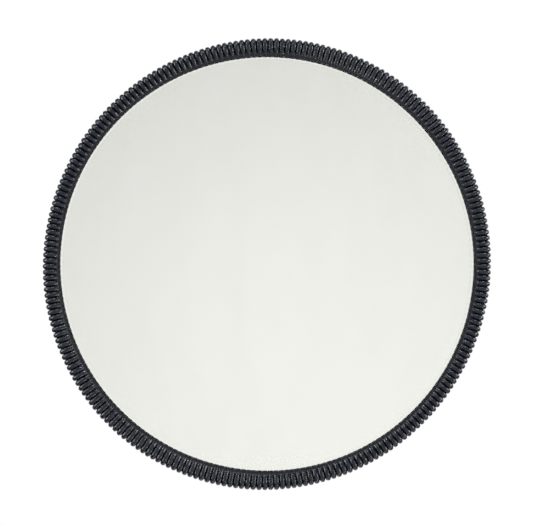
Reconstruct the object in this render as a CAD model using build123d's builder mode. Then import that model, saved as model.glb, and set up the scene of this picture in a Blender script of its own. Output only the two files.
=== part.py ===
"""Convex observation mirror with a ribbed edge trim, on a telescopic ball-joint wall bracket.

The frame has +Z up and +X to the right of someone facing the mirror. The wall is the plane Y = 0, the
mirror faces -Y, and the origin is the middle of the wall plate's back face, on the mirror's own axis.
Every "station" below is a distance out from the wall, towards the viewer, along that axis.
"""

import math
import os

from build123d import *

os.makedirs("parts", exist_ok=True)

# ---- Driving dimensions, in millimetres and degrees ----------------------------------------------

# Mirror face and its back
trim_diameter = 457.2  # over the rib crests, a nominal 18 inch mirror
lens_thickness = 2.5  # clear acrylic
film_thickness = 0.3  # metallised layer with its sealing paint
film_gap = 0.05
foam_thickness = 1.0
foam_width = 14.0
backing_thickness = 3.0  # hardboard
dome_height = 44.0
dome_inset = 1.525  # from the lip's tip in to the root of the dome
dome_root_fillet = 5.0

# Edge trim, a soft channel with one rib at every pitch
rib_count = 240
rib_depth = 2.1
trim_wall = 2.2  # cover over the edge stack in a valley
edge_set = 1.8  # from the rim of the edge stack out to the bulb's centre
lip_reach = 11.15  # from the bulb's centre in to the lip's tip
lip_bead = 2.4  # thickness of the rounded bead along the lip's tip
lip_web = 1.1
trim_clearance = 0.1
rim_clearance = 0.4

# Wall plate
plate_radius = 48.0
plate_thickness = 4.0
plate_edge_fillet = 1.5
wall_hole_circle = 72.0
wall_hole_count = 4
wall_hole_radius = 2.75
wall_countersink_radius = 5.25
boss_wall = 5.5
boss_height = 12.0
boss_fillet = 2.5
grub_radius = 2.5
grub_length = 5.0
grub_socket_radius = 1.4
grub_socket_depth = 2.0

# Sliding rod, its bush and the tube around them
rod_radius = 9.0
rod_wall = 2.0
rod_flat = 0.8  # depth of the flat that keys the rod in its bush
rod_travel = 50.0
rod_rest_gap = 10.0  # from the bush to the socket with the rod pushed home
rod_tail = 8.0  # rod behind the stop pin
rod_end_room = 8.2  # from the wall plate to the rod's end, with the rod pushed home
pin_radius = 1.5
bush_wall = 1.85
bush_length = 16.0
bush_flange = 2.0
tube_wall = 1.5

# Clamp collar and its screw
collar_wall = 4.5
collar_length = 18.0
clamp_boss_radius = 7.5
clamp_boss_length = 9.0
clamp_screw_radius = 3.0
clamp_pad_length = 3.5
knob_gap = 2.5
knob_hub_radius = 7.0
knob_hub_length = 3.0
knob_core_radius = 11.0
knob_lobe_count = 5
knob_lobe_radius = 5.0
knob_length = 10.0

# Ball joint
ball_radius = 14.0
stem_radius = 5.0
pan_limit = 20.0
tilt_limit = 20.0
swing_margin = 1.6
liner_thickness = 1.9
liner_back_radius = 6.0
liner_slit = 1.2
liner_slit_count = 4
liner_slit_depth = 12.0  # how far each slit runs back from the ball's equator
cup_floor = 5.9
cup_wall = 2.9
cup_lead = 6.0  # cup ahead of the ball's equator
sleeve_wall = 4.0
sleeve_length = 18.0
sleeve_depth = 12.0
ring_wall = 5.0
ring_lip = 2.8
ring_skirt = 12.0
ring_grip_count = 16
ring_grip_radius = 3.0
ring_grip_bite = 1.5

# Mirror flange and its fasteners
hub_radius = 13.0
hub_length = 8.0
hub_fillet = 3.0
flange_chamfer = 0.5
flange_radius = 40.0
flange_thickness = 4.0
flange_screw_circle = 56.0
flange_screw_count = 4
flange_screw_radius = 2.5
flange_screw_length = 16.0
screw_head_radius = 4.75
screw_head_height = 3.0
recess_length = 5.2
recess_width = 1.1
recess_depth = 1.6
washer_radius = 5.0
washer_bore = 2.65
washer_thickness = 1.0
flange_nut_across_flats = 8.0
flange_nut_height = 4.0
stiffener_radius = 55.0
stiffener_thickness = 1.5
lock_nut_across_flats = 17.0
lock_nut_height = 8.0
lock_nut_room = 3.8  # from the lock ring's lip to the nut

# Fits: a running fit turns or slides, a snug one is pressed or glued, and a face gap parts two faces
running = 0.1
snug = 0.05
face_gap = 0.3
hole_room = 0.25

# ---- Radii that follow --------------------------------------------------------------------------

tube_bore = rod_radius + running + bush_wall + snug
tube_radius = tube_bore + tube_wall
boss_radius = tube_radius + snug + boss_wall
collar_radius = tube_radius + snug + collar_wall
clamp_boss_end = collar_radius + clamp_boss_length
sleeve_radius = rod_radius + snug + sleeve_wall

liner_inner = ball_radius + running
liner_outer = liner_inner + liner_thickness
cavity_radius = liner_outer + running
cup_radius = cavity_radius + cup_wall
ring_radius = cup_radius + running + ring_wall
swing = math.degrees(math.acos(math.cos(math.radians(pan_limit)) * math.cos(math.radians(tilt_limit))))
mouth_angle = swing + math.degrees(math.asin(stem_radius / ball_radius)) + swing_margin

# ---- Stations that follow, from the wall out ----------------------------------------------------

rod_back = plate_thickness + rod_end_room
stop_pin_station = rod_back + rod_tail
bush_back = stop_pin_station + pin_radius + face_gap + rod_travel
tube_front = bush_back + bush_length
tube_length = tube_front - plate_thickness
bush_front = tube_front + bush_flange
collar_back = tube_front - collar_length
clamp_station = tube_front - collar_length / 2
sleeve_back = bush_front + rod_rest_gap
sleeve_front = sleeve_back + sleeve_length
rod_front = sleeve_back + sleeve_depth
ball_station = sleeve_front + cup_floor + cavity_radius
ring_front = ball_station + (cavity_radius + ring_lip) * math.cos(math.radians(mouth_angle))
lock_nut_back = ball_station + cavity_radius + ring_lip + lock_nut_room
hub_back = lock_nut_back + lock_nut_height + face_gap
flange_back = hub_back + hub_length
flange_front = flange_back + flange_thickness
backing_front = flange_front + backing_thickness
stiffener_front = backing_front + stiffener_thickness
foam_front = backing_front + foam_thickness
lens_back = foam_front + film_thickness + film_gap
lens_front = lens_back + lens_thickness

# ---- The edge of the mirror ---------------------------------------------------------------------

slot_half = (lens_front - flange_front) / 2 + trim_clearance
trim_station = (lens_front + flange_front) / 2
valley_radius = slot_half + trim_wall
crest_radius = valley_radius + rib_depth
bulb_circle = trim_diameter / 2 - crest_radius
stack_radius = bulb_circle - edge_set
lip_tip = bulb_circle - lip_reach
dome_radius = lip_tip - dome_inset
dome_sphere = (dome_radius**2 + dome_height**2) / (2 * dome_height)
dome_centre = lens_front + dome_height - dome_sphere

# A sketch on this plane has x outwards from the mirror's axis and y along the stations.
section = Plane(origin=(0, 0, 0), x_dir=(1, 0, 0), z_dir=(0, 0, -1))

# The clamp screw comes in from the left, square to the rod.
clamp_plane = Plane(origin=(0, -clamp_station, 0), z_dir=(-1, 0, 0))

FROM_BASE = (Align.CENTER, Align.CENTER, Align.MIN)


def across(station):
    """The plane across the mirror's axis at a station, with its normal towards the viewer."""
    return Plane.XZ.offset(station)


def ahead(radius, degrees, station):
    """A point of the section plane, by its distance and its angle from straight ahead of a station."""
    angle = math.radians(degrees)
    return (radius * math.sin(angle), station + radius * math.cos(angle))


def is_round(radius):
    """A test for circular edges of one radius."""
    return lambda edge: edge.geom_type == GeomType.CIRCLE and abs(edge.radius - radius) < snug / 2


# ---- Wall plate and its set screw ---------------------------------------------------------------

boss_station = plate_thickness + boss_height / 2

with BuildPart() as wall_plate:
    with BuildSketch(across(0)):
        Circle(plate_radius)
    extrude(amount=plate_thickness)
    fillet(wall_plate.edges().filter_by(is_round(plate_radius)).sort_by(Axis.Y)[0], plate_edge_fillet)
    with BuildSketch(across(plate_thickness)):
        Circle(boss_radius)
        Circle(tube_radius + snug, mode=Mode.SUBTRACT)
    extrude(amount=boss_height)
    fillet(wall_plate.edges().filter_by(is_round(boss_radius)), boss_fillet)
    with Locations(across(plate_thickness)):
        with PolarLocations(wall_hole_circle / 2, wall_hole_count, start_angle=45):
            CounterSinkHole(wall_hole_radius, wall_countersink_radius, depth=plate_thickness)
    with Locations(Plane(origin=(0, -boss_station, 0), z_dir=(0, 0, -1))):
        Cylinder(grub_radius, boss_radius + boss_wall, align=FROM_BASE, mode=Mode.SUBTRACT)
wall_plate.part.label = "wall_plate"
export_step(wall_plate.part, "parts/wall_plate.step")

with BuildPart(Plane(origin=(0, -boss_station, -tube_radius - snug), z_dir=(0, 0, -1))) as tube_grub_screw:
    Cylinder(grub_radius - snug, grub_length, align=FROM_BASE)
    with Locations((0, 0, grub_length)):
        Hole(grub_socket_radius, depth=grub_socket_depth)
tube_grub_screw.part.label = "tube_grub_screw"
export_step(tube_grub_screw.part, "parts/tube_grub_screw.step")

# ---- Outer tube, bush and collar ----------------------------------------------------------------

with BuildPart() as outer_tube:
    with BuildSketch(across(plate_thickness)):
        Circle(tube_radius)
        Circle(tube_bore, mode=Mode.SUBTRACT)
    extrude(amount=tube_length)
    with Locations(clamp_plane):
        Cylinder(clamp_screw_radius + hole_room, collar_radius, align=FROM_BASE, mode=Mode.SUBTRACT)
outer_tube.part.label = "outer_tube"
export_step(outer_tube.part, "parts/outer_tube.step")

with BuildSketch() as rod_passage:
    Circle(rod_radius + running)
    with Locations((rod_flat - running - 2 * rod_radius, 0)):
        Rectangle(2 * rod_radius, 3 * rod_radius, mode=Mode.SUBTRACT)

with BuildPart() as tube_bush:
    with BuildSketch(across(bush_back)):
        Circle(tube_bore - snug)
        add(rod_passage.sketch, mode=Mode.SUBTRACT)
    extrude(amount=bush_length)
    with BuildSketch(across(tube_front)):
        Circle(tube_radius)
        add(rod_passage.sketch, mode=Mode.SUBTRACT)
    extrude(amount=bush_flange)
    fillet(tube_bush.edges().filter_by(is_round(tube_radius)).sort_by(Axis.Y)[0], bush_flange / 3)
    with Locations(clamp_plane):
        Cylinder(clamp_screw_radius + hole_room, collar_radius, align=FROM_BASE, mode=Mode.SUBTRACT)
tube_bush.part.label = "tube_bush"
export_step(tube_bush.part, "parts/tube_bush.step")

with BuildPart() as clamp_collar:
    with BuildSketch(across(collar_back)):
        Circle(collar_radius)
    extrude(amount=collar_length)
    chamfer(clamp_collar.edges().filter_by(GeomType.CIRCLE), collar_wall / 4)
    with Locations(clamp_plane):
        Cylinder(clamp_boss_radius, clamp_boss_end, align=FROM_BASE)
    chamfer(clamp_collar.edges().filter_by(is_round(clamp_boss_radius)).sort_by(Axis.X)[0], collar_wall / 4)
    with BuildSketch(across(collar_back)):
        Circle(tube_radius + snug)
    extrude(amount=collar_length, mode=Mode.SUBTRACT)
    with Locations(clamp_plane):
        Cylinder(clamp_screw_radius + snug, clamp_boss_end, align=FROM_BASE, mode=Mode.SUBTRACT)
clamp_collar.part.label = "clamp_collar"
export_step(clamp_collar.part, "parts/clamp_collar.step")

# ---- Clamp screw, its pad and its knob ----------------------------------------------------------

pad_tip = rod_radius - rod_flat + face_gap
screw_tip = pad_tip + clamp_pad_length + running
knob_face = clamp_boss_end + knob_gap
knob_bore = knob_hub_length + knob_length / 2

with BuildPart(clamp_plane.offset(pad_tip)) as clamp_pad:
    Cylinder(clamp_screw_radius - snug, clamp_pad_length, align=FROM_BASE)
    chamfer(clamp_pad.edges().filter_by(GeomType.CIRCLE), face_gap)
clamp_pad.part.label = "clamp_pad"
export_step(clamp_pad.part, "parts/clamp_pad.step")

with BuildPart(clamp_plane.offset(screw_tip)) as clamp_screw:
    Cylinder(clamp_screw_radius - snug, knob_face + knob_bore - screw_tip, align=FROM_BASE)
    chamfer(clamp_screw.edges().filter_by(GeomType.CIRCLE), face_gap)
clamp_screw.part.label = "clamp_screw"
export_step(clamp_screw.part, "parts/clamp_screw.step")

with BuildPart(clamp_plane.offset(knob_face)) as clamp_knob:
    with BuildSketch(clamp_plane.offset(knob_face + knob_hub_length)) as knob_outline:
        Circle(knob_core_radius)
        with PolarLocations(knob_core_radius, knob_lobe_count):
            Circle(knob_lobe_radius)
        fillet(knob_outline.vertices(), knob_lobe_radius / 2)
    extrude(amount=knob_length)
    fillet(clamp_knob.faces().sort_by(Axis.X)[0].edges(), knob_length / 5)
    fillet(clamp_knob.faces().sort_by(Axis.X)[-1].edges(), knob_length / 10)
    Cylinder(knob_hub_radius, knob_hub_length + running, align=FROM_BASE)
    Cylinder(clamp_screw_radius, knob_bore + running, align=FROM_BASE, mode=Mode.SUBTRACT)
clamp_knob.part.label = "clamp_knob"
export_step(clamp_knob.part, "parts/clamp_knob.step")

# ---- Sliding rod and the socket on its end ------------------------------------------------------

roll_pin_station = sleeve_back + sleeve_depth / 2

with BuildPart() as inner_rod:
    with BuildSketch(across(rod_back)):
        Circle(rod_radius)
        with Locations((rod_flat - 2 * rod_radius, 0)):
            Rectangle(2 * rod_radius, 3 * rod_radius, mode=Mode.SUBTRACT)
        Circle(rod_radius - rod_wall, mode=Mode.SUBTRACT)
    extrude(amount=rod_front - rod_back)
    with Locations((0, -stop_pin_station, 0)):
        Cylinder(pin_radius + snug, 4 * rod_radius, mode=Mode.SUBTRACT)
    with Locations((0, -roll_pin_station, 0)):
        Cylinder(pin_radius + snug, 4 * rod_radius, mode=Mode.SUBTRACT)
inner_rod.part.label = "inner_rod"
export_step(inner_rod.part, "parts/inner_rod.step")

with BuildPart() as stop_pin:
    with Locations((0, -stop_pin_station, 0)):
        Cylinder(pin_radius, 2 * (tube_bore - 2 * face_gap))
    chamfer(stop_pin.edges().filter_by(GeomType.CIRCLE), face_gap)
stop_pin.part.label = "stop_pin"
export_step(stop_pin.part, "parts/stop_pin.step")

with BuildPart() as socket_body:
    with BuildSketch(section):
        with BuildLine():
            Polyline(
                (0, sleeve_back),
                (sleeve_radius, sleeve_back),
                (sleeve_radius, sleeve_front),
                (cup_radius, sleeve_front + cup_floor),
                (cup_radius, ball_station + cup_lead),
                (0, ball_station + cup_lead),
                close=True,
            )
        make_face()
    revolve(axis=Axis.Y)
    fillet(socket_body.edges().filter_by(is_round(sleeve_radius)).sort_by(Axis.Y)[0], sleeve_wall / 2)
    chamfer(socket_body.edges().filter_by(is_round(sleeve_radius)).sort_by(Axis.Y)[-1], sleeve_wall / 4)
    with Locations((0, -ball_station, 0)):
        Sphere(cavity_radius, mode=Mode.SUBTRACT)
    with BuildSketch(across(sleeve_back)):
        Circle(rod_radius + snug)
    extrude(amount=sleeve_depth + face_gap, mode=Mode.SUBTRACT)
    with Locations((0, -roll_pin_station, 0)):
        Cylinder(pin_radius + snug, 4 * sleeve_radius, mode=Mode.SUBTRACT)
socket_body.part.label = "socket_body"
export_step(socket_body.part, "parts/socket_body.step")

with BuildPart() as socket_roll_pin:
    with Locations((0, -roll_pin_station, 0)):
        Cylinder(pin_radius, 2 * (sleeve_radius - face_gap))
    chamfer(socket_roll_pin.edges().filter_by(GeomType.CIRCLE), face_gap)
socket_roll_pin.part.label = "socket_roll_pin"
export_step(socket_roll_pin.part, "parts/socket_roll_pin.step")

# ---- Ball, its liner and the lock ring ----------------------------------------------------------

seat_station = ball_station + cup_lead + face_gap
seat_angle = math.degrees(math.acos((seat_station - ball_station) / cavity_radius))

with BuildPart() as lock_ring:
    with BuildSketch(section):
        with BuildLine():
            Polyline(
                ahead(cavity_radius, mouth_angle, ball_station),
                ahead(cavity_radius + ring_lip, mouth_angle, ball_station),
                (ring_radius - ring_wall / 2, ring_front),
                (ring_radius, ring_front - ring_wall / 2),
                (ring_radius, ball_station - ring_skirt),
                (cup_radius + running, ball_station - ring_skirt),
                (cup_radius + running, seat_station),
                ahead(cavity_radius, seat_angle, ball_station),
            )
            ThreePointArc(
                ahead(cavity_radius, seat_angle, ball_station),
                ahead(cavity_radius, (seat_angle + mouth_angle) / 2, ball_station),
                ahead(cavity_radius, mouth_angle, ball_station),
            )
        make_face()
    revolve(axis=Axis.Y)
    with Locations(across(ball_station - ring_skirt)):
        with PolarLocations(ring_radius + ring_grip_radius - ring_grip_bite, ring_grip_count):
            Cylinder(ring_grip_radius, 3 * ring_skirt, align=FROM_BASE, mode=Mode.SUBTRACT)
lock_ring.part.label = "lock_ring"
export_step(lock_ring.part, "parts/lock_ring.step")

with BuildPart() as ball_liner:
    with BuildSketch(section):
        with BuildLine():
            back_angle = 180 - math.degrees(math.asin(liner_back_radius / liner_inner))
            middle_angle = (mouth_angle + back_angle) / 2
            Line(
                ahead(liner_inner, mouth_angle, ball_station),
                ahead(liner_outer, mouth_angle, ball_station),
            )
            ThreePointArc(
                ahead(liner_outer, mouth_angle, ball_station),
                ahead(liner_outer, middle_angle, ball_station),
                ahead(liner_outer, back_angle, ball_station),
            )
            Line(
                ahead(liner_outer, back_angle, ball_station),
                ahead(liner_inner, back_angle, ball_station),
            )
            ThreePointArc(
                ahead(liner_inner, back_angle, ball_station),
                ahead(liner_inner, middle_angle, ball_station),
                ahead(liner_inner, mouth_angle, ball_station),
            )
        make_face()
    revolve(axis=Axis.Y)
    with BuildSketch(across(ball_station - liner_slit_depth)):
        with PolarLocations(liner_outer / 2, liner_slit_count):
            Rectangle(2 * liner_outer, liner_slit)
    extrude(amount=2 * liner_outer, mode=Mode.SUBTRACT)
ball_liner.part.label = "ball_liner"
export_step(ball_liner.part, "parts/ball_liner.step")

with BuildPart() as ball_stud:
    with BuildSketch(across(ball_station)):
        Circle(stem_radius)
    extrude(amount=flange_front - face_gap - ball_station)
    chamfer(ball_stud.edges().filter_by(is_round(stem_radius)).sort_by(Axis.Y)[0], stem_radius / 6)
    with Locations((0, -ball_station, 0)):
        Sphere(ball_radius)
ball_stud.part.label = "ball_stud"
export_step(ball_stud.part, "parts/ball_stud.step")


def hexagon_nut(across_flats, height, bore):
    """A plain hexagon nut standing on the XY plane, with its corners turned off at 30 degrees."""
    with BuildPart() as nut:
        with BuildSketch():
            RegularPolygon(across_flats / 2, 6, major_radius=False)
        extrude(amount=height)
        corner = across_flats / 2 / math.cos(math.radians(30))
        with BuildSketch(Plane.XZ):
            with BuildLine():
                Polyline(
                    (0, 0),
                    (across_flats / 2, 0),
                    (corner, (corner - across_flats / 2) * math.tan(math.radians(30))),
                    (corner, height - (corner - across_flats / 2) * math.tan(math.radians(30))),
                    (across_flats / 2, height),
                    (0, height),
                    close=True,
                )
            make_face()
        revolve(axis=Axis.Z, mode=Mode.INTERSECT)
        Cylinder(bore, height, align=FROM_BASE, mode=Mode.SUBTRACT)
    return nut.part


with BuildPart() as lock_nut:
    with Locations(across(lock_nut_back)):
        add(hexagon_nut(lock_nut_across_flats, lock_nut_height, stem_radius + snug))
lock_nut.part.label = "lock_nut"
export_step(lock_nut.part, "parts/lock_nut.step")

# ---- Mirror flange and its fasteners ------------------------------------------------------------

screw_places = PolarLocations(flange_screw_circle / 2, flange_screw_count, start_angle=45).locations


def at_each_screw(station):
    """The places of the flange screws on the plane across a station."""
    return Locations(*[across(station).location * place for place in screw_places])


with BuildPart() as mounting_flange:
    with BuildSketch(across(flange_back)):
        Circle(flange_radius)
    extrude(amount=flange_thickness)
    chamfer(mounting_flange.edges().filter_by(is_round(flange_radius)).sort_by(Axis.Y)[-1], flange_chamfer)
    with BuildSketch(across(hub_back)):
        Circle(hub_radius)
    extrude(amount=hub_length)
    fillet(mounting_flange.edges().filter_by(is_round(hub_radius)).sort_by(Axis.Y)[0], hub_fillet)
    chamfer(mounting_flange.edges().filter_by(is_round(hub_radius)).sort_by(Axis.Y)[-1], flange_chamfer)
    with BuildSketch(across(hub_back)):
        Circle(stem_radius + running)
    extrude(amount=hub_length + flange_thickness, mode=Mode.SUBTRACT)
    with at_each_screw(flange_front):
        Hole(flange_screw_radius + hole_room, depth=flange_thickness)
mounting_flange.part.label = "mounting_flange"
export_step(mounting_flange.part, "parts/mounting_flange.step")

with BuildPart() as flange_washers:
    with at_each_screw(flange_back - washer_thickness):
        Cylinder(washer_radius, washer_thickness, align=FROM_BASE)
        Cylinder(washer_bore, washer_thickness, align=FROM_BASE, mode=Mode.SUBTRACT)
flange_washers.part.label = "flange_washers"
export_step(flange_washers.part, "parts/flange_washers.step")

head_seat = flange_back - washer_thickness

with BuildPart() as flange_screws:
    with at_each_screw(head_seat - screw_head_height):
        Cylinder(screw_head_radius, screw_head_height, align=FROM_BASE)
    head_edges = flange_screws.edges().filter_by(is_round(screw_head_radius)).group_by(Axis.Y)[-1]
    fillet(head_edges, screw_head_height / 2)
    with at_each_screw(head_seat):
        Cylinder(flange_screw_radius, flange_screw_length, align=FROM_BASE)
    chamfer(flange_screws.edges().filter_by(is_round(flange_screw_radius)).group_by(Axis.Y)[0], face_gap)
    with at_each_screw(head_seat - screw_head_height):
        Box(recess_length, recess_width, 2 * recess_depth, mode=Mode.SUBTRACT)
        Box(recess_width, recess_length, 2 * recess_depth, mode=Mode.SUBTRACT)
flange_screws.part.label = "flange_screws"
export_step(flange_screws.part, "parts/flange_screws.step")

with BuildPart() as stiffener_plate:
    with BuildSketch(across(backing_front)):
        Circle(stiffener_radius)
    extrude(amount=stiffener_thickness)
    with at_each_screw(stiffener_front):
        Hole(flange_screw_radius + hole_room, depth=stiffener_thickness)
stiffener_plate.part.label = "stiffener_plate"
export_step(stiffener_plate.part, "parts/stiffener_plate.step")

with BuildPart() as flange_nuts:
    with at_each_screw(stiffener_front):
        add(hexagon_nut(flange_nut_across_flats, flange_nut_height, flange_screw_radius + snug))
flange_nuts.part.label = "flange_nuts"
export_step(flange_nuts.part, "parts/flange_nuts.step")

# ---- Backing board and the foam under the mirror's rim ------------------------------------------

with BuildPart() as backing_plate:
    with BuildSketch(across(flange_front)):
        Circle(stack_radius)
    extrude(amount=backing_thickness)
    with at_each_screw(backing_front):
        Hole(flange_screw_radius + hole_room, depth=backing_thickness)
backing_plate.part.label = "backing_plate"
export_step(backing_plate.part, "parts/backing_plate.step")

with BuildPart() as foam_ring:
    with BuildSketch(across(backing_front)):
        Circle(stack_radius)
        Circle(stack_radius - foam_width, mode=Mode.SUBTRACT)
    extrude(amount=foam_thickness)
foam_ring.part.label = "foam_ring"
export_step(foam_ring.part, "parts/foam_ring.step")

# ---- Domed mirror: clear lens, and the metallised film behind it ---------------------------------


def root_point(depth):
    """Where the dome meets its flat rim, on the skin at a depth below the lens's outer face."""
    sphere = dome_sphere - depth
    flat = lens_front - depth
    return (math.sqrt(sphere**2 - (flat - dome_centre) ** 2), flat)


def dome_shell(outer_depth, inner_depth):
    """The shell between two depths below the lens's outer face: a dome with a flat rim around it."""
    with BuildPart() as shell:
        with BuildSketch(section) as profile:
            with BuildLine():
                for depth in (outer_depth, inner_depth):
                    sphere = dome_sphere - depth
                    root = root_point(depth)
                    root_angle = math.degrees(math.atan2(root[0], root[1] - dome_centre))
                    middle = ahead(sphere, root_angle / 2, dome_centre)
                    ThreePointArc((0, dome_centre + sphere), middle, root)
                    Line(root, (stack_radius, root[1]))
                for radius, face in ((stack_radius, lens_front), (0, dome_centre + dome_sphere)):
                    Line((radius, face - outer_depth), (radius, face - inner_depth))
            make_face()
            for depth in (outer_depth, inner_depth):
                root = section.from_local_coords(Vector(*root_point(depth)))
                fillet(profile.vertices().sort_by_distance(root)[0], dome_root_fillet + depth)
        revolve(axis=Axis.Y)
    return shell.part


with BuildPart() as mirror_lens:
    add(dome_shell(0, lens_thickness))
mirror_lens.part.label = "mirror_lens"
export_step(mirror_lens.part, "parts/mirror_lens.step")

with BuildPart() as mirror_film:
    add(dome_shell(lens_thickness + film_gap, lens_thickness + film_gap + film_thickness))
mirror_film.part.label = "mirror_film"
export_step(mirror_film.part, "parts/mirror_film.step")

# ---- Edge trim ----------------------------------------------------------------------------------

half_pitch = 180 / rib_count


def trim_plane(degrees):
    """The plane square to the trim at an angle round the mirror, with x pointing outwards."""
    angle = math.radians(degrees)
    outward = Vector(math.cos(angle), 0, math.sin(angle))
    along = Vector(-math.sin(angle), 0, math.cos(angle))
    return Plane(origin=outward * bulb_circle - Vector(0, trim_station, 0), x_dir=outward, z_dir=along)


with BuildPart() as rib:
    for turn, radius in ((-half_pitch, valley_radius), (0, crest_radius), (half_pitch, valley_radius)):
        with BuildSketch(trim_plane(turn)):
            Circle(radius)
    loft()

ribs = [rib.part.rotate(Axis.Y, 2 * half_pitch * index) for index in range(rib_count)]
ribbed_bulb = ribs[0].fuse(*ribs[1:])

with BuildPart() as edge_trim:
    add(ribbed_bulb)
    with BuildSketch(section):
        with Locations((stack_radius + rim_clearance, trim_station)):
            Rectangle(2 * lip_reach, 2 * slot_half, align=(Align.MAX, Align.CENTER))
    revolve(axis=Axis.Y, mode=Mode.SUBTRACT)
    for side in (1, -1):
        with BuildSketch(section):
            with Locations((bulb_circle, trim_station + side * (slot_half + lip_web / 2))):
                Rectangle(lip_reach - lip_bead / 2, lip_web, align=(Align.MAX, Align.CENTER))
            with Locations((lip_tip + lip_bead / 2, trim_station + side * (slot_half + lip_bead / 2))):
                Circle(lip_bead / 2)
        revolve(axis=Axis.Y)
edge_trim.part.label = "edge_trim"
export_step(edge_trim.part, "parts/edge_trim.step")
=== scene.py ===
"""Looks of a convex observation mirror: domed acrylic mirror, ribbed vinyl edge trim and wall bracket."""

import logging
import math
from dataclasses import dataclass
from enum import Enum

import bmesh
import bpy
from mathutils import Matrix, Vector, noise


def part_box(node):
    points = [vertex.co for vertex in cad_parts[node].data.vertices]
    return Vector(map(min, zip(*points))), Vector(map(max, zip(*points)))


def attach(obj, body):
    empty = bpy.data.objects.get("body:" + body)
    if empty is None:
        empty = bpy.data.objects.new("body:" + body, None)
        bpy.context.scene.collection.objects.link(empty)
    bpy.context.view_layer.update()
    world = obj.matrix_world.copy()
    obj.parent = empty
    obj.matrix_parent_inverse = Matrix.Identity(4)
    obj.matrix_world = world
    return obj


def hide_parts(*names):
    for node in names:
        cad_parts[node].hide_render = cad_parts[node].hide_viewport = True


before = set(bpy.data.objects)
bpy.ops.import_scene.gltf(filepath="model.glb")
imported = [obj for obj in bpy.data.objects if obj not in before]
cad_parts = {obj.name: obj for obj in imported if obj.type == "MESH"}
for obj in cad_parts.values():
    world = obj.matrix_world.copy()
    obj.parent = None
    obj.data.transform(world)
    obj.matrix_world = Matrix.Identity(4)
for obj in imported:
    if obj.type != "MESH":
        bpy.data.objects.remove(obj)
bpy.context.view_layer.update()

MM = 0.001
TURN = 2 * math.pi
WELD = 1e-7  # metres between points that are one point
SHARP_ANGLE = math.radians(48)
THREAD_STEPS = 20  # steps in one turn of a thread
THREAD_SINK = 0.03 * MM  # how far a thread's ridge sinks in its core
THREAD_ROOT, THREAD_CREST = 0.4, 0.08  # half the ridge's width at its root and crest, as shares of the pitch
NOISE_MIDDLE = (0.3, 0.7)  # range that holds nearly all of a noise pattern
LEAN_SEED = Vector((0, 0, 7))  # parts the trim's sideways lean from its rise
MIX_FACTOR, MIX_A, MIX_B, MIX_COLOUR = 0, 6, 7, 2  # sockets of a Mix node set to colour

log = logging.getLogger("mirror")


# ---- Shader helpers -----------------------------------------------------------------------------


def srgb(code: str) -> tuple[float, float, float, float]:
    """Turn an sRGB hex colour into a linear one.

    Args:
        code: six hexadecimal digits after a "#".

    Returns:
        Linear red, green and blue, with an alpha of one.
    """
    parts = [int(code[place:place + 2], 16) / 255 for place in (1, 3, 5)]
    linear = [part / 12.92 if part <= 0.04045 else ((part + 0.055) / 1.055) ** 2.4 for part in parts]
    return (*linear, 1.0)


def add_node(tree: bpy.types.NodeTree, kind: str, inputs: dict | None = None, **settings) -> bpy.types.Node:
    """Add a node with its settings, values and links.

    Args:
        tree: The node tree that takes the node.
        kind: Blender's name for the node's type.
        inputs: For each input, by name or number, a value or the output socket linked to it.
        settings: Properties of the node.

    Returns:
        The new node.
    """
    node = tree.nodes.new(kind)
    for name, value in settings.items():
        setattr(node, name, value)
    for key, value in (inputs or {}).items():
        if isinstance(value, bpy.types.NodeSocket):
            tree.links.new(value, node.inputs[key])
        else:
            node.inputs[key].default_value = value
    return node


class Projection(Enum):
    """Which way a pattern runs over a piece."""

    EVEN = (1.0, 1.0, 1.0)
    ROUND_AXIS = (0.12, 1.0, 0.12)
    # Upright streaks; on the mirror film they are a painted reflection.
    UPRIGHT = (1.0, 1.0, 0.2)


# ---- Finishes -----------------------------------------------------------------------------------


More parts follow.
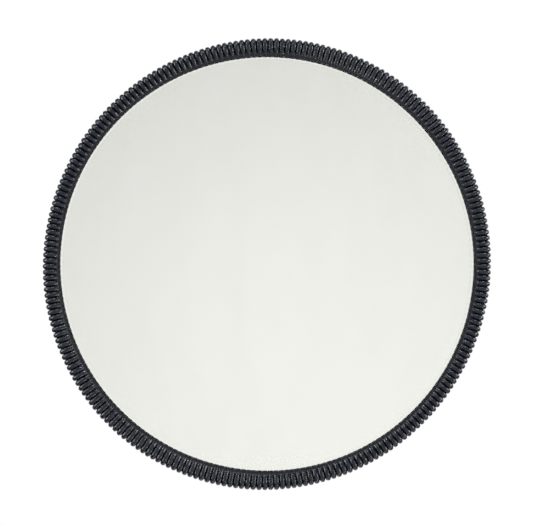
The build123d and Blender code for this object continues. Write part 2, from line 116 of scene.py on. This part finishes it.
@dataclass(frozen=True)
class Finish:
    """A surface finish: two shades blended by a pattern, with roughness and relief from the same pattern."""

    name: str
    shade: str
    second_shade: str
    metallic: float
    roughness: tuple[float, float]
    grain_mm: float
    relief_mm: float
    projection: Projection = Projection.EVEN
    cloud_mm: float = 40.0
    ior: float = 1.45
    roughness_share: float = 3.0  # size of the roughness pattern over the grain's size

    def pattern(self, tree: bpy.types.NodeTree, size_mm: float, detail: float) -> bpy.types.NodeSocket:
        """Make a noise pattern in object space.

        Args:
            tree: The material's node tree.
            size_mm: Size of the pattern's largest features.
            detail: Octaves of finer noise.

        Returns:
            The noise value, about 0.5 on average.
        """
        place = add_node(tree, "ShaderNodeTexCoord")
        stretch = add_node(
            tree, "ShaderNodeMapping", {"Vector": place.outputs["Object"], "Scale": self.projection.value}
        )
        grain = add_node(
            tree,
            "ShaderNodeTexNoise",
            {"Vector": stretch.outputs["Vector"], "Scale": 1 / (size_mm * MM), "Detail": detail},
        )
        return grain.outputs["Fac"]

    def spread(
        self, tree: bpy.types.NodeTree, value: bpy.types.NodeSocket, low: float, high: float
    ) -> bpy.types.NodeSocket:
        """Spread a noise value's middle range between two numbers.

        Args:
            tree: The material's node tree.
            value: The noise value.
            low: Result at the low end.
            high: Result at the high end.

        Returns:
            The spread value.
        """
        ranged = add_node(
            tree,
            "ShaderNodeMapRange",
            {
                "Value": value,
                "From Min": NOISE_MIDDLE[0],
                "From Max": NOISE_MIDDLE[1],
                "To Min": low,
                "To Max": high,
            },
        )
        return ranged.outputs["Result"]

    def shaded(self, tree: bpy.types.NodeTree) -> bpy.types.NodeSocket:
        """Blend the two shades by a broad cloud with some grain in it.

        Args:
            tree: The material's node tree.

        Returns:
            The blended colour.
        """
        cloud = self.pattern(tree, self.cloud_mm, 4.0)
        blend = add_node(
            tree,
            "ShaderNodeMix",
            {
                MIX_FACTOR: self.spread(tree, cloud, 0.0, 1.0),
                MIX_A: srgb(self.shade),
                MIX_B: srgb(self.second_shade),
            },
            data_type="RGBA",
        )
        return blend.outputs[MIX_COLOUR]

    def relief(self, tree: bpy.types.NodeTree) -> bpy.types.NodeSocket:
        """Height of the surface texture, from 0 to 1, before it is scaled to its depth."""
        return self.pattern(tree, self.grain_mm, 3.0)

    def finish_shader(self, tree: bpy.types.NodeTree, shader: bpy.types.Node) -> None:
        """Set what one kind of finish has beyond the shared settings; the plain finish has nothing more."""

    def build(self) -> bpy.types.Material:
        """Make the material.

        Returns:
            The new material.
        """
        material = bpy.data.materials.new(self.name)
        material.use_nodes = True
        tree = material.node_tree
        tree.nodes.clear()
        height = self.relief(tree)
        bump = add_node(
            tree, "ShaderNodeBump", {"Height": height, "Distance": self.relief_mm * MM, "Strength": 1.0}
        )
        patches = self.pattern(tree, self.grain_mm * self.roughness_share, 3.0)
        shader = add_node(
            tree,
            "ShaderNodeBsdfPrincipled",
            {
                "Base Color": self.shaded(tree),
                "Metallic": self.metallic,
                "Roughness": self.spread(tree, patches, *self.roughness),
                "Normal": bump.outputs["Normal"],
            },
        )
        if self.metallic < 1:
            shader.inputs["IOR"].default_value = self.ior
        self.finish_shader(tree, shader)
        add_node(tree, "ShaderNodeOutputMaterial", {"Surface": shader.outputs["BSDF"]})
        return material


@dataclass(frozen=True)
class Vinyl(Finish):
    """Soft black vinyl, glossy but with less of a reflection than hard plastic."""

    specular: float = 0.5

    def finish_shader(self, tree: bpy.types.NodeTree, shader: bpy.types.Node) -> None:
        """Lower the specular level to that of plasticised vinyl."""
        shader.inputs["Specular IOR Level"].default_value = self.specular


@dataclass(frozen=True)
class ClearAcrylic(Finish):
    """Cast acrylic sheet, drawn to a dome while soft and left as polished as the sheet was."""

    def finish_shader(self, tree: bpy.types.NodeTree, shader: bpy.types.Node) -> None:
        """Let light through the sheet."""
        shader.inputs["Transmission Weight"].default_value = 1.0


@dataclass(frozen=True)
class Hardboard(Finish):
    """Brown fibreboard, whose rough face carries the print of the wire screen that it was pressed on."""

    screen_mm: float = 4.5  # the real screen is about 1.5 mm, which is too fine to show
    bands_per_unit: float = 3.2  # bands that a wave texture puts in one unit of its scale
    screen_wander: float = 0.4

    def relief(self, tree: bpy.types.NodeTree) -> bpy.types.NodeSocket:
        """Make the height of the screen's print, broken up by fibres.

        Args:
            tree: The material's node tree.

        Returns:
            The height.
        """
        place = add_node(tree, "ShaderNodeTexCoord")
        waves = [
            add_node(
                tree,
                "ShaderNodeTexWave",
                {
                    "Vector": place.outputs["Object"],
                    "Scale": 1 / (self.screen_mm * MM) / self.bands_per_unit,
                    "Distortion": self.screen_wander,
                },
                bands_direction=direction,
            ).outputs["Fac"]
            for direction in ("X", "Z")
        ]
        screen = add_node(tree, "ShaderNodeMath", {0: waves[0], 1: waves[1]}, operation="MULTIPLY")
        fibres = self.pattern(tree, self.grain_mm, 5.0)
        return add_node(
            tree, "ShaderNodeMath", {0: screen.outputs[0], 1: fibres}, operation="ADD"
        ).outputs[0]


# Soft vinyl channel, extruded and crimped into ribs while hot: a slick, slightly wavy skin, so that each rib
# carries short broken glints and the valleys between them stay nearly black.
VINYL = Vinyl(
    "black_soft_vinyl_ribbed", "#070B13", "#0C121D", 0.0, (0.05, 0.19), 1.1, 0.34,
    cloud_mm=9.0, specular=0.38,
)
# Cast acrylic sheet, heated and drawn to a dome: clear and as smooth as the sheet was, so that the mirror
# behind it is seen sharp, under the sheet's own faint gloss.
ACRYLIC = ClearAcrylic(
    "clear_acrylic_formed", "#FCFDFB", "#FDFDFC", 0.0, (0.0, 0.012), 30.0, 0.0, cloud_mm=120.0, ior=1.49
)
# Aluminium, evaporated on the acrylic's back in a vacuum: a clean mirror, a little greyer than silver. Its
# tone varies a little at random, and is stretched into faint upright streaks that are a painted reflection
# of blurred things in front of the mirror.
METALLISED = Finish(
    "vacuum_metallised_coating", "#EBEBE8", "#E9E9E5", 1.0, (0.0, 0.02), 25.0, 0.0, Projection.UPRIGHT, 26.0
)
# Steel, sprayed with black powder and baked: satin black with a fine orange peel that softens highlights.
POWDER_COAT = Finish(
    "black_powder_coat_sprayed", "#1B1C1E", "#222325", 0.0, (0.3, 0.46), 1.6, 0.05, cloud_mm=30.0, ior=1.5
)
# Alloy steel, dipped hot in a blackening bath: a dull brown-black with small lighter clouds.
BLACK_OXIDE = Finish("black_oxide_dipped", "#1E1D1C", "#2B2927", 0.0, (0.35, 0.55), 0.8, 0.02, cloud_mm=6.0)
# Turned steel, bright zinc plated: pale bluish metal with fine marks round the axis that stretch highlights.
ZINC = Finish(
    "bright_zinc_plate_turned", "#C9CCD1", "#B9BDBF", 1.0, (0.16, 0.32), 0.7, 0.02,
    Projection.ROUND_AXIS, cloud_mm=12.0,
)
# Brass bar, turned and left bare: warm yellow metal with small marks and a slightly uneven shine.
BRASS = Finish("brass_turned", "#C9A255", "#B98F45", 1.0, (0.2, 0.34), 0.6, 0.01, cloud_mm=4.0)
# Acetal rod, turned: off-white, waxy plastic with a broad soft sheen.
ACETAL = Finish(
    "white_acetal_turned", "#E4E3DC", "#DBDAD1", 0.0, (0.3, 0.45), 1.0, 0.015, cloud_mm=15.0, ior=1.48
)
# Glass-filled nylon, moulded in a spark-eroded tool: charcoal and matt, with a fine even grain.
NYLON = Finish(
    "black_glass_filled_nylon_moulded", "#191A1B", "#232426", 0.0, (0.42, 0.6), 0.9, 0.04,
    cloud_mm=14.0, ior=1.53,
)
# Closed-cell foam tape, cut from a sheet: deep matt black, pitted by its cells.
FOAM = Finish("black_foam_tape_cut", "#1A1A1A", "#262626", 0.0, (0.8, 0.95), 1.2, 0.15, cloud_mm=5.0)
# Tempered hardboard, hot-pressed on a wire screen: warm brown and matt, with the screen's print pressed in.
BOARD = Hardboard(
    "tempered_hardboard_pressed", "#866038", "#7E5A34", 0.0, (0.6, 0.8), 2.2, 0.32, cloud_mm=32.0
)


# ---- Mesh helpers -------------------------------------------------------------------------------


def at(radius: float, station: float) -> Vector:
    """The point beside the mirror's axis, out along +X, at a station towards the viewer."""
    return Vector((radius, -station, 0.0))


def arc(centre: Vector, radius: float, start: float, end: float, steps: int) -> list[Vector]:
    """Points along an arc in the plane of the mirror's axis and +X.

    Args:
        centre: Centre of the arc.
        radius: Radius of the arc.
        start: First point's angle in degrees, from straight ahead towards +X.
        end: Last point's angle in degrees.
        steps: Number of equal steps between them.

    Returns:
        The points, first and last included.
    """
    angles = [math.radians(start + (end - start) * step / steps) for step in range(steps + 1)]
    return [centre + at(radius * math.sin(angle), radius * math.cos(angle)) for angle in angles]


def chain(mesh: bmesh.types.BMesh, points: list[Vector], closed: bool) -> tuple[list, list]:
    """Add a line of edges through points.

    Args:
        mesh: The mesh that takes them.
        points: The points in order.
        closed: Whether the last point is joined to the first.

    Returns:
        The new vertices and the new edges.
    """
    verts = [mesh.verts.new(point) for point in points]
    ends = verts[1:] + verts[:1] if closed else verts[1:]
    return verts, [mesh.edges.new(pair) for pair in zip(verts, ends)]


def spin_round(mesh: bmesh.types.BMesh, points: list[Vector], closed: bool, steps: int) -> None:
    """Turn an outline once round the mirror's axis into a closed skin.

    Args:
        mesh: The mesh that takes the skin.
        points: The outline; when it is open, both its ends lie on the axis.
        closed: Whether the outline is a closed one.
        steps: Number of steps round the axis.
    """
    verts, edges = chain(mesh, points, closed)
    bmesh.ops.spin(
        mesh, geom=verts + edges, cent=(0, 0, 0), axis=(0, 1, 0), angle=TURN, steps=steps, use_merge=True
    )
    bmesh.ops.remove_doubles(mesh, verts=mesh.verts, dist=WELD)
    bmesh.ops.recalc_face_normals(mesh, faces=mesh.faces)


def wind_thread(
    mesh: bmesh.types.BMesh, radius: float, depth: float, pitch: float, start: float, end: float
) -> None:
    """Wind a right-hand thread's ridge round the mirror's axis.

    Args:
        mesh: The mesh that takes the ridge, which already has its closed core.
        radius: Radius over the crest.
        depth: Depth down to the core.
        pitch: Advance in one turn.
        start: Station of the ridge's middle where it starts.
        end: Station where it ends.
    """
    root = radius - depth - THREAD_SINK
    ridge = [
        at(root, start - THREAD_ROOT * pitch),
        at(radius, start - THREAD_CREST * pitch),
        at(radius, start + THREAD_CREST * pitch),
        at(root, start + THREAD_ROOT * pitch),
    ]
    verts, edges = chain(mesh, ridge, True)
    steps = round((end - start) / pitch * THREAD_STEPS)
    bmesh.ops.spin(
        mesh,
        geom=verts + edges,
        cent=(0, 0, 0),
        axis=(0, 1, 0),
        dvec=(0, (start - end) / steps, 0),
        angle=-TURN * (end - start) / pitch,
        steps=steps,
    )
    bmesh.ops.holes_fill(mesh, edges=[edge for edge in mesh.edges if edge.is_boundary])
    bmesh.ops.recalc_face_normals(mesh, faces=mesh.faces)


def finished(mesh: bmesh.types.BMesh, name: str, material: bpy.types.Material) -> bpy.types.Object:
    """Turn a finished mesh into an object at the origin, smooth-shaded but for its sharp edges.

    Args:
        mesh: The mesh, which is freed.
        name: Name of the object.
        material: Its only material.

    Returns:
        The new object.
    """
    for edge in mesh.edges:
        edge.smooth = edge.calc_face_angle(math.pi) < SHARP_ANGLE
    for face in mesh.faces:
        face.smooth = True
    data = bpy.data.meshes.new(name)
    mesh.to_mesh(data)
    mesh.free()
    data.materials.append(material)
    piece = bpy.data.objects.new(name, data)
    bpy.context.scene.collection.objects.link(piece)
    log.info("%s: %d faces", name, len(data.polygons))
    return piece


def hand_over(piece: bpy.types.Object, body: str, node: str) -> None:
    """Put a piece on the body that it rides on and hide the CAD node that it stands for.

    Args:
        piece: The finished piece.
        body: The body that it rides on.
        node: The CAD node that it stands for.
    """
    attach(piece, body)
    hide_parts(node)


def dress(material: bpy.types.Material, *names: str) -> None:
    """Give CAD nodes a material.

    Args:
        material: The material.
        names: The nodes that take it.
    """
    for name in names:
        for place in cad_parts[name].material_slots:
            place.material = material
        log.info("%s: %s", name, material.name)


# ---- Domed mirror -------------------------------------------------------------------------------


@dataclass
class DomedMirror:
    """The acrylic dome with its flat rim, and the metallised film close behind it."""

    thickness: float = 2.5 * MM
    film_gap: float = 0.05 * MM
    film_thickness: float = 0.3 * MM
    root_radius: float = 208.1 * MM  # where the dome would meet the rim if there were no fillet
    root_fillet: float = 5.0 * MM
    rim_round: float = 0.4 * MM
    dome_steps: int = 44
    fillet_steps: int = 8
    turns: int = 240

    def __post_init__(self) -> None:
        """Read the dome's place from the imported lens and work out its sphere."""
        low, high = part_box("mirror_lens")
        self.rim_radius = high.x
        self.face = -high.y + self.thickness
        self.height = -low.y - self.face
        self.sphere = (self.root_radius**2 + self.height**2) / (2 * self.height)
        self.centre = at(0, self.face + self.height - self.sphere)
        across = self.sphere + self.root_fillet
        ahead = self.face + self.root_fillet + self.centre.y
        self.fillet_centre = at(math.sqrt(across**2 - ahead**2), self.face + self.root_fillet)
        self.tangent = math.degrees(math.asin(self.fillet_centre.x / across))

    def skin_line(self, depth: float) -> list[Vector]:
        """Outline of the skin at a depth below the outer face, from the axis to the rim.

        Args:
            depth: Depth below the outer face.

        Returns:
            The outline's points.
        """
        dome = arc(self.centre, self.sphere - depth, 0, self.tangent, self.dome_steps)
        root = arc(self.fillet_centre, self.root_fillet + depth, self.tangent + 180, 180, self.fillet_steps)
        return dome + root[1:] + [at(self.rim_radius - self.rim_round, self.face - depth)]

    def shell(self, name: str, outer: float, inner: float, material: bpy.types.Material) -> bpy.types.Object:
        """Build the shell between two depths.

        Args:
            name: Name of the piece.
            outer: Depth of its outer face.
            inner: Depth of its inner face.
            material: Its material.

        Returns:
            The piece.
        """
        mesh = bmesh.new()
        middle = self.face - (outer + inner) / 2
        outline = self.skin_line(outer) + [at(self.rim_radius, middle)] + self.skin_line(inner)[::-1]
        spin_round(mesh, outline, False, self.turns)
        return finished(mesh, name, material)

    def build(self) -> None:
        """Build and hand over the lens and the film."""
        film_face = self.thickness + self.film_gap
        lens = self.shell("domed_lens", 0.0, self.thickness, ACRYLIC.build())
        hand_over(lens, "mirror_head", "mirror_lens")
        film = self.shell("metallised_film", film_face, film_face + self.film_thickness, METALLISED.build())
        hand_over(film, "mirror_head", "mirror_film")


# ---- Edge trim ----------------------------------------------------------------------------------


@dataclass
class EdgeTrim:
    """The ribbed vinyl channel: one rib is bridged from a few loops and turned round the rim."""

    ribs: int = 240
    crest: float = 7.82 * MM
    valley: float = 4.9 * MM
    slot_half: float = 3.525 * MM
    slot_floor: float = 1.4 * MM
    lip_reach: float = 11.15 * MM
    bead_radius: float = 0.95 * MM
    bead_rise: float = 0.45 * MM  # of the bead's centre over the slot's face
    bead_notch: float = 0.78 * MM
    bead_arc: tuple[float, float] = (-95.0, 72.0)  # the bead's start and end, in degrees from straight ahead
    corner_inset: float = 0.4 * MM  # from the lip's tip to the corner under the bead
    groove_rise: float = 0.45 * MM
    groove_place: float = 1.7  # from the lip's tip to the groove, in bead radii
    front_steps: int = 8
    back_steps: int = 5
    bead_steps: tuple[int, int] = (5, 3)  # front and back
    inward_draw: float = 1.39  # how much further the bulb reaches towards the axis than away from it
    half_rib_steps: int = 3
    stretch: float = 1.8 * MM  # how much further out the trim sits along its long axis
    long_axis: float = math.radians(60)
    wander: float = 0.22 * MM
    wander_ribs: float = 6.0  # ribs that lean and rise together, roughly
    wander_waves: float = 4.0  # slow waves in the trim's lie

    def __post_init__(self) -> None:
        """Read the trim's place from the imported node."""
        low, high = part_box("edge_trim")
        self.outer = max(high.x, high.z)
        self.station = -(low.y + high.y) / 2
        self.circle = self.outer - self.crest
        self.pitch = TURN / self.ribs

    def lip(self, steps: int, notch: float) -> list[Vector]:
        """Outline of the front lip, from the slot's corner over the bead into the groove.

        Args:
            steps: Steps round the bead.
            notch: How far the bead is let down.

        Returns:
            The outline, relative to the bulb's centre.
        """
        base = self.slot_half
        bead = at(self.bead_radius - self.lip_reach, base + self.bead_rise - notch / 2)
        crown = arc(bead, self.bead_radius - notch / 2, *self.bead_arc, steps)
        return [
            at(-self.slot_floor, base),
            at(self.corner_inset - self.lip_reach, base),
            *crown,
            at(self.groove_place * self.bead_radius - self.lip_reach, base + self.groove_rise),
        ]

    def section(self, height: float) -> list[Vector]:
        """Closed outline across the trim, from the front lip round the outside to the back lip.

        Args:
            height: Height on the rib, from 0 in the valley to 1 on the crest.

        Returns:
            The outline, relative to the bulb's centre, in the plane of the axis and +X.
        """
        radius = self.valley + height * (self.crest - self.valley)
        notch = (1 - height) * self.bead_notch
        start = math.degrees(math.asin((self.slot_half + self.groove_rise) / radius)) - 90
        bulb = arc(Vector(), radius, start, 90, self.front_steps)
        bulb += arc(Vector(), radius, 90, 180 - start, self.back_steps)[1:]
        for point in bulb:
            point.x *= self.inward_draw if point.x < 0 else 1.0
        front, back = (self.lip(steps, notch) for steps in self.bead_steps)
        return front + bulb + [Vector((point.x, -point.y, 0)) for point in reversed(back)]

    def rib(self, mesh: bmesh.types.BMesh) -> None:
        """Bridge one half-round rib from a valley over its crest to the next valley.

        Args:
            mesh: The mesh that takes the rib.
        """
        loops = []
        for step in range(-self.half_rib_steps, self.half_rib_steps + 1):
            lean = math.pi / 2 * step / self.half_rib_steps
            place = Matrix.Rotation((1 + math.sin(lean)) / 2 * self.pitch, 4, "Y") @ Matrix.Translation(
                at(self.circle, self.station)
            )
            outline = self.section(math.cos(lean))
            loops.append(chain(mesh, [place @ point for point in outline], True)[1])
        for near, far in zip(loops, loops[1:]):
            bmesh.ops.bridge_loops(mesh, edges=near + far)

    def settle(self, mesh: bmesh.types.BMesh) -> None:
        """Move the points as a hand-fitted soft trim lies: a little oval, with ribs that aren't all alike.

        Args:
            mesh: The whole ring.
        """
        lip = self.circle - self.lip_reach
        for vert in mesh.verts:
            angle = math.atan2(vert.co.z, vert.co.x)
            radius = math.hypot(vert.co.x, vert.co.z)
            share = min(max((radius - lip) / (self.outer - lip), 0.0), 1.0)
            oval = self.stretch * math.cos(2 * (angle - self.long_axis))
            place = Vector((math.cos(angle), math.sin(angle), 0))
            beside = place * self.ribs / self.wander_ribs
            loose = self.wander * noise.noise(beside) + self.wander * noise.noise(place * self.wander_waves)
            lean = self.wander * noise.noise(beside + LEAN_SEED)
            radius += share * (oval + loose)
            angle += share * lean / radius
            vert.co.x = radius * math.cos(angle)
            vert.co.z = radius * math.sin(angle)

    def build(self) -> None:
        """Build and hand over the trim."""
        mesh = bmesh.new()
        self.rib(mesh)
        bmesh.ops.spin(
            mesh,
            geom=mesh.verts[:] + mesh.edges[:] + mesh.faces[:],
            cent=(0, 0, 0),
            axis=(0, 1, 0),
            angle=TURN - self.pitch,
            steps=self.ribs - 1,
            use_duplicate=True,
        )
        bmesh.ops.remove_doubles(mesh, verts=mesh.verts, dist=0.01 * MM)
        bmesh.ops.recalc_face_normals(mesh, faces=mesh.faces)
        self.settle(mesh)
        hand_over(finished(mesh, "ribbed_trim", VINYL.build()), "mirror_head", "edge_trim")


# ---- Threaded pieces ----------------------------------------------------------------------------


@dataclass
class BallStud:
    """The ball with its threaded stem."""

    stem: float = 5.0 * MM
    thread_depth: float = 0.8 * MM
    pitch: float = 1.5 * MM
    plain: float = 2.1 * MM  # stem between the ball and the thread
    tip_chamfer: float = 0.8 * MM
    neck_blend: float = 4.0  # degrees of the ball's arc that ease into the stem
    ball_steps: int = 26
    turns: int = 48

    def build(self, material: bpy.types.Material) -> None:
        """Build and hand over the stud.

        Args:
            material: The stud's plating.
        """
        low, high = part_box("ball_stud")
        ball = high.x
        centre = ball - high.y
        neck = math.degrees(math.asin(self.stem / ball))
        core = self.stem - self.thread_depth
        start = centre + ball + self.plain
        outline = arc(at(0, centre), ball, 180, neck + self.neck_blend, self.ball_steps) + [
            at(self.stem, centre + ball),
            at(self.stem, start - self.pitch),
            at(core, start - self.pitch / 2),
            at(core, -low.y - self.tip_chamfer / 2),
            at(core - self.tip_chamfer / 2, -low.y),
            at(0, -low.y),
        ]
        mesh = bmesh.new()
        spin_round(mesh, outline, False, self.turns)
        wind_thread(mesh, self.stem, self.thread_depth, self.pitch, start, -low.y - self.tip_chamfer)
        hand_over(finished(mesh, "threaded_ball_stud", material), "ball", "ball_stud")


@dataclass
class ClampScrew:
    """The clamp's threaded screw, which crosses the arm from the left."""

    thread_depth: float = 0.5 * MM
    pitch: float = 1.0 * MM
    chamfer: float = 0.5 * MM
    turns: int = 32

    def build(self, material: bpy.types.Material) -> None:
        """Build and hand over the screw.

        Args:
            material: The screw's plating.
        """
        low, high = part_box("clamp_screw")
        radius = (high.z - low.z) / 2
        core = radius - self.thread_depth
        near, far = -high.x, -low.x
        outline = [
            at(0, near),
            at(core - self.chamfer / 2, near),
            at(core, near + self.chamfer / 2),
            at(core, far - self.chamfer / 2),
            at(core - self.chamfer / 2, far),
            at(0, far),
        ]
        mesh = bmesh.new()
        spin_round(mesh, outline, False, self.turns)
        wind_thread(mesh, radius, self.thread_depth, self.pitch, near + self.pitch, far - self.pitch)
        place = Matrix.Translation((0, (low.y + high.y) / 2, 0)) @ Matrix.Rotation(-TURN / 4, 4, "Z")
        mesh.transform(place)
        piece = finished(mesh, "threaded_clamp_screw", material)
        hand_over(piece, "clamp_handle", "clamp_screw")


# ---- Bracket ------------------------------------------------------------------------------------


@dataclass
class Bracket:
    """The wall plate, arm, ball joint and flange: two threaded pieces, and the rest in the CAD's shapes."""

    def build(self) -> None:
        """Build the threaded pieces and dress every other bracket node."""
        dress(
            POWDER_COAT.build(), "wall_plate", "outer_tube", "clamp_collar", "socket_body", "mounting_flange"
        )
        dress(BLACK_OXIDE.build(), "tube_grub_screw")
        zinc = ZINC.build()
        BallStud().build(zinc)
        ClampScrew().build(zinc)
        dress(
            zinc, "inner_rod", "stop_pin", "socket_roll_pin", "lock_nut", "flange_screws", "flange_washers",
            "flange_nuts", "stiffener_plate",
        )
        dress(BRASS.build(), "clamp_pad")
        dress(ACETAL.build(), "tube_bush", "ball_liner")
        dress(NYLON.build(), "clamp_knob", "lock_ring")
        dress(BOARD.build(), "backing_plate")
        dress(FOAM.build(), "foam_ring")


# ---- Studio -------------------------------------------------------------------------------------


@dataclass(frozen=True)
class SoftBox:
    """A soft patch of light on the studio's walls."""

    direction: tuple[float, float, float]
    core_deg: float
    edge_deg: float
    strength: float


@dataclass
class Studio:
    """White studio: a pale floor, soft light all round and the camera."""

    camera_distance: float = 2.0
    field_width: float = 0.5406
    azimuth: float = math.radians(-2.0)
    elevation: float = math.radians(-1.0)
    aim: tuple[float, float] = (-0.0013, 0.0011)
    floor_depth: float = 0.9
    floor_radius: float = 0.8
    floor_fade: tuple[float, float] = (0.2, 0.72)
    walls: float = 0.12
    lamp_strength: float = 1.3
    lamp_width: float = math.radians(40)
    lamp_tilt: tuple[float, float, float] = (math.radians(8), math.radians(-12), 0.0)
    floor_sides: int = 96
    boxes: tuple[SoftBox, ...] = (
        SoftBox((0, -1, 0), 58, 72, 0.95),
        SoftBox((1, -0.17, 0.1), 8, 20, 18.0),
        SoftBox((-1, -0.17, 0.1), 8, 20, 18.0),
        SoftBox((0.1, -0.31, 0.95), 6, 12, 20.0),
        SoftBox((-0.68, -0.29, 0.68), 5, 12, 16.0),
        SoftBox((0.68, -0.29, -0.68), 5, 12, 12.0),
        SoftBox((0.35, 1, 0.45), 22, 50, 1.6),
        SoftBox((0, 1, 0.15), 30, 80, 0.55),
    )
    tilt: tuple[float, float, float] = (0.055, 0.0, -0.11)  # how the light grows along each axis
    bowl: tuple[float, float, float] = (-0.10, 0.0, -0.09)  # how it falls away from the middle

    def light(self) -> None:
        """Make the world's light by direction, plain white where the camera sees it."""
        world = bpy.data.worlds.new("studio")
        bpy.context.scene.world = world
        world.use_nodes = True
        tree = world.node_tree
        tree.nodes.clear()
        way = add_node(tree, "ShaderNodeTexCoord").outputs["Generated"]
        total = self.walls
        for box in self.boxes:
            facing = add_node(
                tree,
                "ShaderNodeVectorMath",
                {0: way, 1: Vector(box.direction).normalized()},
                operation="DOT_PRODUCT",
            )
            patch = add_node(
                tree,
                "ShaderNodeMapRange",
                {
                    "Value": facing.outputs["Value"],
                    "From Min": math.cos(math.radians(box.edge_deg)),
                    "From Max": math.cos(math.radians(box.core_deg)),
                    "To Min": 0.0,
                    "To Max": box.strength,
                },
                interpolation_type="SMOOTHSTEP",
            ).outputs["Result"]
            total = add_node(tree, "ShaderNodeMath", {0: patch, 1: total}, operation="ADD").outputs[0]
        tilt = add_node(tree, "ShaderNodeVectorMath", {0: way, 1: self.tilt}, operation="DOT_PRODUCT")
        square = add_node(tree, "ShaderNodeVectorMath", {0: way, 1: way}, operation="MULTIPLY")
        bowl = add_node(
            tree,
            "ShaderNodeVectorMath",
            {0: square.outputs["Vector"], 1: self.bowl},
            operation="DOT_PRODUCT",
        )
        shading = add_node(
            tree, "ShaderNodeMath", {0: tilt.outputs["Value"], 1: bowl.outputs["Value"]}, operation="ADD"
        )
        shading = add_node(tree, "ShaderNodeMath", {0: shading.outputs[0], 1: 1.0}, operation="ADD")
        strength = add_node(tree, "ShaderNodeMath", {0: total, 1: shading.outputs[0]}, operation="MULTIPLY")
        around = add_node(tree, "ShaderNodeBackground", {"Strength": strength.outputs[0]})
        seen = add_node(tree, "ShaderNodeBackground", {"Color": srgb("#FFFFFF")})
        around.inputs["Color"].default_value = srgb("#FFFFFF")
        path = add_node(tree, "ShaderNodeLightPath")
        mixed = add_node(
            tree,
            "ShaderNodeMixShader",
            {0: path.outputs["Is Camera Ray"], 1: around.outputs[0], 2: seen.outputs[0]},
        )
        add_node(tree, "ShaderNodeOutputWorld", {"Surface": mixed.outputs[0]})

    def lamp(self) -> None:
        """Hang a wide lamp overhead that lights the floor and the bracket but isn't mirrored."""
        data = bpy.data.lights.new("overhead", "SUN")
        data.energy = self.lamp_strength
        data.angle = self.lamp_width
        lamp = bpy.data.objects.new("overhead", data)
        lamp.rotation_euler = self.lamp_tilt
        lamp.visible_glossy = False
        bpy.context.scene.collection.objects.link(lamp)

    def floor(self) -> None:
        """Lay the pale floor, which fades out before its rim."""
        mesh = bmesh.new()
        bmesh.ops.create_circle(
            mesh,
            cap_ends=True,
            segments=self.floor_sides,
            radius=self.floor_radius,
            matrix=Matrix.Translation((0, 0, -self.floor_depth)),
        )
        material = bpy.data.materials.new("pale_floor")
        material.use_nodes = True
        tree = material.node_tree
        tree.nodes.clear()
        place = add_node(tree, "ShaderNodeTexCoord")
        flat = add_node(
            tree, "ShaderNodeVectorMath", {0: place.outputs["Object"], 1: (1, 1, 0)}, operation="MULTIPLY"
        )
        length = add_node(tree, "ShaderNodeVectorMath", {0: flat.outputs["Vector"]}, operation="LENGTH")
        fade = add_node(
            tree,
            "ShaderNodeMapRange",
            {
                "Value": length.outputs["Value"],
                "From Min": self.floor_fade[0],
                "From Max": self.floor_fade[1],
            },
            interpolation_type="SMOOTHSTEP",
        )
        paint = add_node(tree, "ShaderNodeBsdfDiffuse", {"Color": srgb("#F4F4F2")})
        clear = add_node(tree, "ShaderNodeBsdfTransparent")
        mixed = add_node(
            tree,
            "ShaderNodeMixShader",
            {0: fade.outputs["Result"], 1: paint.outputs[0], 2: clear.outputs[0]},
        )
        add_node(tree, "ShaderNodeOutputMaterial", {"Surface": mixed.outputs[0]})
        finished(mesh, "studio_floor", material)

    def camera(self, station: float) -> None:
        """Place the camera nearly square to the mirror.

        Args:
            station: Station of the trim's middle plane, which the field width is measured in.
        """
        data = bpy.data.cameras.new("camera")
        data.lens = data.sensor_width * self.camera_distance / self.field_width
        camera = bpy.data.objects.new("camera", data)
        back = Vector(
            (
                math.sin(self.azimuth) * math.cos(self.elevation),
                -math.cos(self.azimuth) * math.cos(self.elevation),
                math.sin(self.elevation),
            )
        )
        target = Vector((self.aim[0], -station, self.aim[1]))
        camera.location = target + back * self.camera_distance
        camera.rotation_mode = "QUATERNION"
        camera.rotation_quaternion = (-back).to_track_quat("-Z", "Y")
        bpy.context.scene.collection.objects.link(camera)
        bpy.context.scene.camera = camera

    def build(self, station: float) -> None:
        """Set up the light, floor and camera.

        Args:
            station: Station of the trim's middle plane.
        """
        bpy.context.scene.view_settings.view_transform = "Standard"
        self.light()
        self.lamp()
        self.floor()
        self.camera(station)


# ---- Putting it together ------------------------------------------------------------------------


def main() -> None:
    """Build the pieces in order."""
    logging.basicConfig(level=logging.INFO, format="%(message)s")
    trim = EdgeTrim()
    Studio().build(trim.station)
    DomedMirror().build()
    trim.build()
    Bracket().build()


if __name__ == "__main__":
    main()
